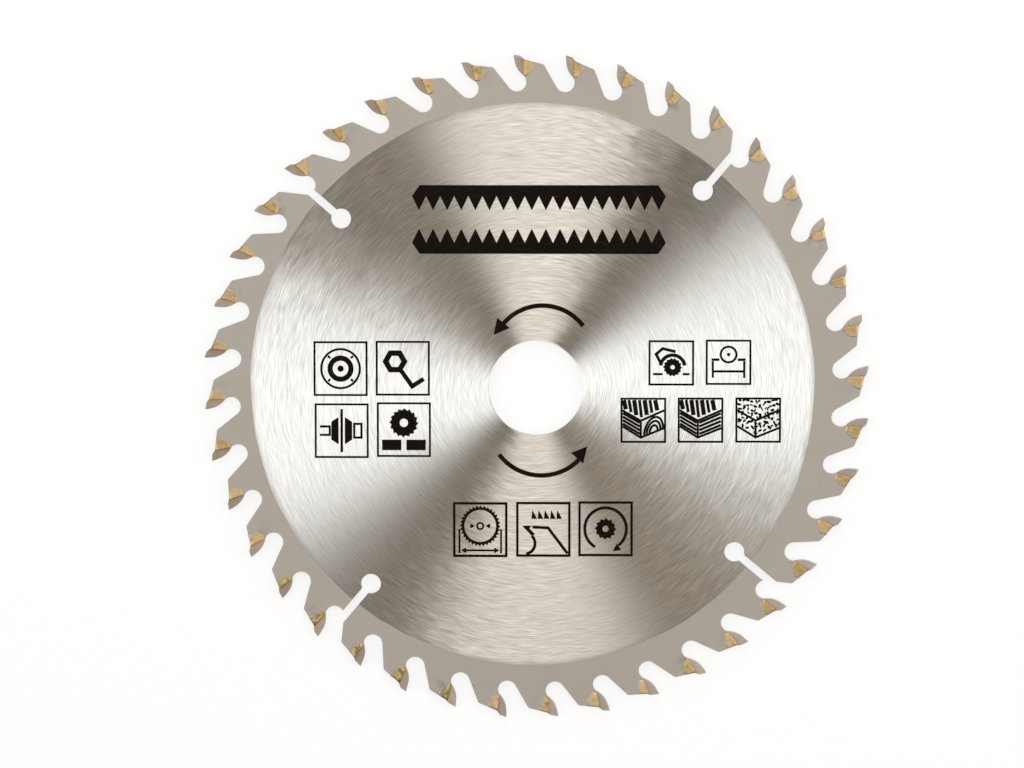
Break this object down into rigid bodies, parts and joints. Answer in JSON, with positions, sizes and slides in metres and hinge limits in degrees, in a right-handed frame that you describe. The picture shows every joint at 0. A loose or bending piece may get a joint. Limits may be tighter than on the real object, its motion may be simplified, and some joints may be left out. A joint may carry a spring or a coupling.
{
  "type": "circular saw blade",
  "caption": "Flat carbide-tipped circular saw blade with a round arbor bore, keyhole expansion slots and brazed teeth with alternate bevels, for cutting wood and boards.",
  "frame": {"origin": "centre of the arbor bore at half the plate's thickness", "axes": "+Z along the arbor axis, out of the printed face; the blade lies flat, and seen from +Z the teeth run counter-clockwise"},
  "size_m": [0.1396, 0.1396, 0.002],
  "materials": {
    "ground_steel": "circular ground disc, blasted tooth band",
    "carbide": "fine ground",
    "braze": "flowed and blasted",
    "ink": "printed"
  },
  "bodies": {
    "root": {"blade_body": "ground_steel", "braze_joints": "braze", "carbide_tip_01": "carbide", "carbide_tip_02": "carbide", "carbide_tip_03": "carbide", "carbide_tip_04": "carbide", "carbide_tip_05": "carbide", "carbide_tip_06": "carbide", "carbide_tip_07": "carbide", "carbide_tip_08": "carbide", "carbide_tip_09": "carbide", "carbide_tip_10": "carbide", "carbide_tip_11": "carbide", "carbide_tip_12": "carbide", "carbide_tip_13": "carbide", "carbide_tip_14": "carbide", "carbide_tip_15": "carbide", "carbide_tip_16": "carbide", "carbide_tip_17": "carbide", "carbide_tip_18": "carbide", "carbide_tip_19": "carbide", "carbide_tip_20": "carbide", "carbide_tip_21": "carbide", "carbide_tip_22": "carbide", "carbide_tip_23": "carbide", "carbide_tip_24": "carbide", "carbide_tip_25": "carbide", "carbide_tip_26": "carbide", "carbide_tip_27": "carbide", "carbide_tip_28": "carbide", "carbide_tip_29": "carbide", "carbide_tip_30": "carbide", "carbide_tip_31": "carbide", "carbide_tip_32": "carbide", "carbide_tip_33": "carbide", "carbide_tip_34": "carbide", "carbide_tip_35": "carbide", "carbide_tip_36": "carbide", "carbide_tip_37": "carbide", "carbide_tip_38": "carbide", "carbide_tip_39": "carbide", "carbide_tip_40": "carbide"}
  },
  "joints": []
}
